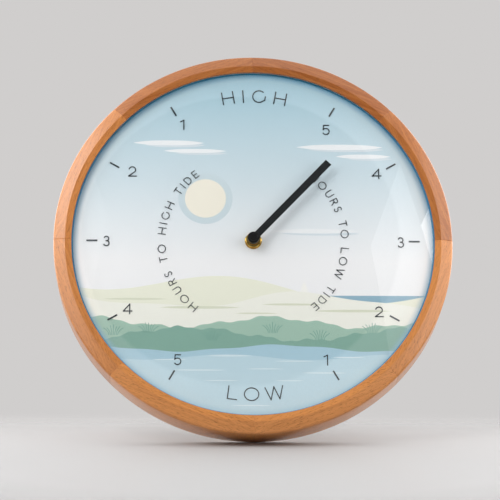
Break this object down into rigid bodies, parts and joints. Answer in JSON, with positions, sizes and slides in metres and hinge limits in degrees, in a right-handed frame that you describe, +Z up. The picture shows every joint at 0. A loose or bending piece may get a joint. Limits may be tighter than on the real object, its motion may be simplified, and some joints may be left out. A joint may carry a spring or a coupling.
{
  "type": "tide clock",
  "caption": "Round wall tide clock: segmented wooden frame, domed lens, printed dial and one hand driven by a quartz tide movement that hangs on a keyhole plate.",
  "frame": {"origin": "centre of the hanger plate's round keyhole opening, on the wall plane", "axes": "+Y into the wall, +Z up, +X to the right of someone facing the dial"},
  "size_m": [0.3, 0.0365, 0.3],
  "materials": {
    "lacquered_wood": "satin lacquer",
    "clear_glass": "polished",
    "dial_paper": "printed paper",
    "hardboard": "raw hardboard",
    "pale_card": "coated card",
    "zinc_steel": "zinc plated",
    "turned_brass": "turned",
    "black_hand": "matt black",
    "black_cap": "satin black",
    "black_rubber": "matt",
    "case_plastic": "moulded black",
    "train_plastic": "moulded natural",
    "magnet": "sintered",
    "motor_iron": "stamped",
    "copper_wire": "enamelled wire",
    "circuit": "solder resist",
    "battery_jacket": "plain jacket"
  },
  "bodies": {
    "clock": {"frame_segment_1": "lacquered_wood", "frame_segment_2": "lacquered_wood", "frame_segment_3": "lacquered_wood", "frame_segment_4": "lacquered_wood", "frame_segment_5": "lacquered_wood", "frame_segment_6": "lacquered_wood", "frame_segment_7": "lacquered_wood", "frame_segment_8": "lacquered_wood", "lens": "clear_glass", "spacer_ring": "pale_card", "dial_print": "dial_paper", "dial_board": "hardboard", "retaining_points": "zinc_steel", "rubber_washer": "black_rubber", "hanger_plate": "zinc_steel", "dial_washer": "turned_brass", "dial_nut": "turned_brass", "threaded_bush": "turned_brass", "stator": "motor_iron", "coil_core": "motor_iron", "coil_winding": "copper_wire", "front_case": "case_plastic", "train_plate": "train_plastic", "rear_cover": "case_plastic", "circuit_board": "circuit", "quartz_crystal": "zinc_steel", "battery": "battery_jacket", "plus_contact": "zinc_steel", "minus_contact": "zinc_steel"},
    "hand": {"hand": "black_hand", "hand_cap": "black_cap", "tide_wheel": "train_plastic"},
    "setting_knob": {"setting_knob": "case_plastic", "setting_arbor": "train_plastic", "clutch_washer": "zinc_steel"},
    "fourth_wheel": {"fourth_wheel": "train_plastic"},
    "third_wheel": {"third_wheel": "train_plastic"},
    "second_wheel": {"second_wheel": "train_plastic"},
    "first_wheel": {"first_wheel": "train_plastic"},
    "rotor": {"rotor": "train_plastic", "rotor_magnet": "magnet"}
  },
  "joints": [
    {"name": "hand_turn", "type": "hinge", "parent": "clock", "child": "hand", "pos_m": [0, -0.012, -0.04], "axis": [0, 1, 0], "continuous": true},
    {"name": "setting_knob_turn", "type": "hinge", "parent": "clock", "child": "setting_knob", "pos_m": [-0.00575, -0.012, -0.03518], "axis": [0, 1, 0], "continuous": true},
    {"name": "first_wheel_spin", "type": "hinge", "parent": "clock", "child": "first_wheel", "pos_m": [0.01447, -0.012, -0.03147], "axis": [0, 1, 0], "continuous": true},
    {"name": "rotor_spin", "type": "hinge", "parent": "clock", "child": "rotor", "pos_m": [0.02226, -0.012, -0.02697], "axis": [0, 1, 0], "continuous": true},
    {"name": "second_wheel_spin", "type": "hinge", "parent": "clock", "child": "second_wheel", "pos_m": [0.00667, -0.012, -0.02697], "axis": [0, 1, 0], "continuous": true},
    {"name": "third_wheel_spin", "type": "hinge", "parent": "clock", "child": "third_wheel", "pos_m": [-0.00219, -0.012, -0.02541], "axis": [0, 1, 0], "continuous": true},
    {"name": "fourth_wheel_spin", "type": "hinge", "parent": "clock", "child": "fourth_wheel", "pos_m": [-0.00575, -0.012, -0.03518], "axis": [0, 1, 0], "continuous": true}
  ],
  "couplings": [
    {"joint": "setting_knob_turn", "follows": "hand_turn", "ratio": -4},
    {"joint": "rotor_spin", "follows": "first_wheel_spin", "ratio": -9},
    {"joint": "second_wheel_spin", "follows": "first_wheel_spin", "ratio": -0.11111},
    {"joint": "third_wheel_spin", "follows": "first_wheel_spin", "ratio": 0.012346},
    {"joint": "fourth_wheel_spin", "follows": "first_wheel_spin", "ratio": -0.0016103}
  ]
}
